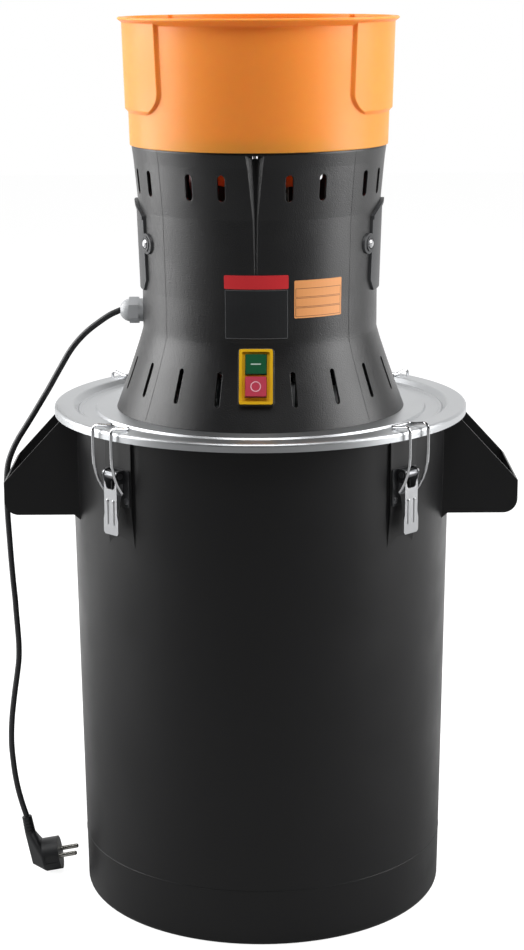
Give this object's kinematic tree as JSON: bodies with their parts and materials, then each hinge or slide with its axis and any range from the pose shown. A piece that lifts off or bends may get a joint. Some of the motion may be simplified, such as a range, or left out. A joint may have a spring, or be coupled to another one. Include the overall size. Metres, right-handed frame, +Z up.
{
  "type": "grain mill",
  "caption": "Electric grain mill: orange round hopper on a dark flared motor housing, latched with four toggle catches on a black collecting bucket with side handles",
  "frame": {"origin": "centre of the bucket's underside, on the floor", "axes": "+Z up along the bucket's and the motor's axis, -Y to the front, where the switch is; the two handles lie along X and the cord leaves on the -X side"},
  "size_m": [0.5194, 0.4132, 0.8863],
  "materials": {
    "bucket_plastic": "black moulded plastic, satin",
    "lid_steel": "pressed steel sheet, satin",
    "gasket_rubber": "soft black rubber",
    "latch_black": "black coated sheet steel",
    "latch_zinc": "zinc plated sheet steel",
    "wire_zinc": "bright plated spring wire",
    "pin_steel": "dark plated steel",
    "rivet_alu": "aluminium",
    "housing_plastic": "dark grey moulded plastic, fine texture",
    "screw_steel": "zinc plated steel",
    "hopper_plastic": "orange moulded plastic, semi-gloss",
    "gate_plastic": "dark grey moulded plastic",
    "chute_plastic": "pale moulded plastic",
    "bezel_yellow": "yellow moulded plastic",
    "switch_black": "black moulded plastic",
    "button_green": "green moulded plastic",
    "button_red": "red moulded plastic",
    "gland_grey": "light grey moulded plastic",
    "cord_rubber": "dark flexible sheath",
    "plug_black": "black moulded plastic",
    "pin_nickel": "nickel plated brass",
    "stator_steel": "laminated steel",
    "copper": "lacquered copper",
    "bracket_alu": "cast aluminium",
    "bearing_steel": "ground steel",
    "brass": "stamped brass",
    "carbon": "black, dull",
    "capacitor_red": "dark red plastic"
  },
  "bodies": {
    "mill": {"bucket": "bucket_plastic", "lid": "lid_steel", "lid_gasket": "gasket_rubber", "latch_bracket_front_left": "latch_black", "latch_bracket_front_right": "latch_black", "latch_bracket_rear_right": "latch_black", "latch_bracket_rear_left": "latch_black", "latch_pins": "pin_steel", "latch_rivets": "rivet_alu", "motor_housing": "housing_plastic", "housing_screws": "screw_steel", "hopper": "hopper_plastic", "hopper_screws": "screw_steel", "feed_chute": "chute_plastic", "brush_cover_left": "gate_plastic", "brush_cover_right": "gate_plastic", "brush_cover_screws": "screw_steel", "switch_bezel": "bezel_yellow", "switch_body": "switch_black", "gland_body": "gland_grey", "gland_nut": "gland_grey", "gland_locknut": "gland_grey", "power_cord": "cord_rubber", "plug_body": "plug_black", "plug_pins": "pin_nickel", "stator_core": "stator_steel", "field_coils": "copper", "stator_bolts": "screw_steel", "lower_bracket": "bracket_alu", "bracket_bolts": "screw_steel", "upper_bracket": "bracket_alu", "lower_bearing": "bearing_steel", "upper_bearing": "bearing_steel", "brush_holders": "brass", "carbon_brushes": "carbon", "capacitor": "capacitor_red", "inner_leads": "cord_rubber", "sieve": "bearing_steel", "sieve_plate": "bearing_steel", "chamber_studs": "screw_steel", "wing_nuts": "screw_steel"},
    "lever_front_left": {"latch_lever_front_left": "latch_zinc"},
    "bail_front_left": {"latch_bail_front_left": "wire_zinc"},
    "lever_front_right": {"latch_lever_front_right": "latch_zinc"},
    "bail_front_right": {"latch_bail_front_right": "wire_zinc"},
    "lever_rear_right": {"latch_lever_rear_right": "latch_zinc"},
    "bail_rear_right": {"latch_bail_rear_right": "wire_zinc"},
    "lever_rear_left": {"latch_lever_rear_left": "latch_zinc"},
    "bail_rear_left": {"latch_bail_rear_left": "wire_zinc"},
    "start_button": {"start_button": "button_green"},
    "stop_button": {"stop_button": "button_red"},
    "rotor": {"motor_shaft": "bearing_steel", "armature_core": "stator_steel", "armature_windings": "copper", "commutator": "copper", "cooling_fan": "carbon", "grinding_blade": "bearing_steel", "blade_nut": "screw_steel"},
    "feed_gate": {"feed_gate": "gate_plastic", "gate_clip": "screw_steel"}
  },
  "joints": [
    {"name": "latch_front_left", "type": "hinge", "parent": "mill", "child": "lever_front_left", "pos_m": [-0.14057, -0.14057, 0.465], "axis": [-0.7071, 0.7071, 0], "range_deg": [0, 150]},
    {"name": "bail_swing_front_left", "type": "hinge", "parent": "lever_front_left", "child": "bail_front_left", "pos_m": [-0.1393, -0.1393, 0.4475], "axis": [-0.7071, 0.7071, 0], "range_deg": [-175, 2]},
    {"name": "latch_front_right", "type": "hinge", "parent": "mill", "child": "lever_front_right", "pos_m": [0.14057, -0.14057, 0.465], "axis": [-0.7071, -0.7071, 0], "range_deg": [0, 150]},
    {"name": "bail_swing_front_right", "type": "hinge", "parent": "lever_front_right", "child": "bail_front_right", "pos_m": [0.1393, -0.1393, 0.4475], "axis": [-0.7071, -0.7071, 0], "range_deg": [-175, 2]},
    {"name": "latch_rear_right", "type": "hinge", "parent": "mill", "child": "lever_rear_right", "pos_m": [0.14057, 0.14057, 0.465], "axis": [0.7071, -0.7071, 0], "range_deg": [0, 150]},
    {"name": "bail_swing_rear_right", "type": "hinge", "parent": "lever_rear_right", "child": "bail_rear_right", "pos_m": [0.1393, 0.1393, 0.4475], "axis": [0.7071, -0.7071, 0], "range_deg": [-175, 2]},
    {"name": "latch_rear_left", "type": "hinge", "parent": "mill", "child": "lever_rear_left", "pos_m": [-0.14057, 0.14057, 0.465], "axis": [0.7071, 0.7071, 0], "range_deg": [0, 150]},
    {"name": "bail_swing_rear_left", "type": "hinge", "parent": "lever_rear_left", "child": "bail_rear_left", "pos_m": [-0.1393, 0.1393, 0.4475], "axis": [0.7071, 0.7071, 0], "range_deg": [-175, 2]},
    {"name": "start_press", "type": "slide", "parent": "mill", "child": "start_button", "axis": [0.0297, 0.9445, -0.3272], "range_m": [0, 0.003], "stiffness_N_per_m": 600},
    {"name": "stop_press", "type": "slide", "parent": "mill", "child": "stop_button", "axis": [0.0297, 0.9445, -0.3272], "range_m": [0, 0.003], "stiffness_N_per_m": 600},
    {"name": "rotor_spin", "type": "hinge", "parent": "mill", "child": "rotor", "pos_m": [0, 0, 0.6], "axis": [0, 0, 1], "continuous": true},
    {"name": "feed_gate_turn", "type": "hinge", "parent": "mill", "child": "feed_gate", "pos_m": [0, 0, 0.728], "axis": [0, 0, 1], "range_deg": [0, 120]}
  ],
  "couplings": [
    {"joint": "bail_swing_front_left", "follows": "latch_front_left", "ratio": -1.15},
    {"joint": "bail_swing_front_right", "follows": "latch_front_right", "ratio": -1.15},
    {"joint": "bail_swing_rear_right", "follows": "latch_rear_right", "ratio": -1.15},
    {"joint": "bail_swing_rear_left", "follows": "latch_rear_left", "ratio": -1.15}
  ]
}
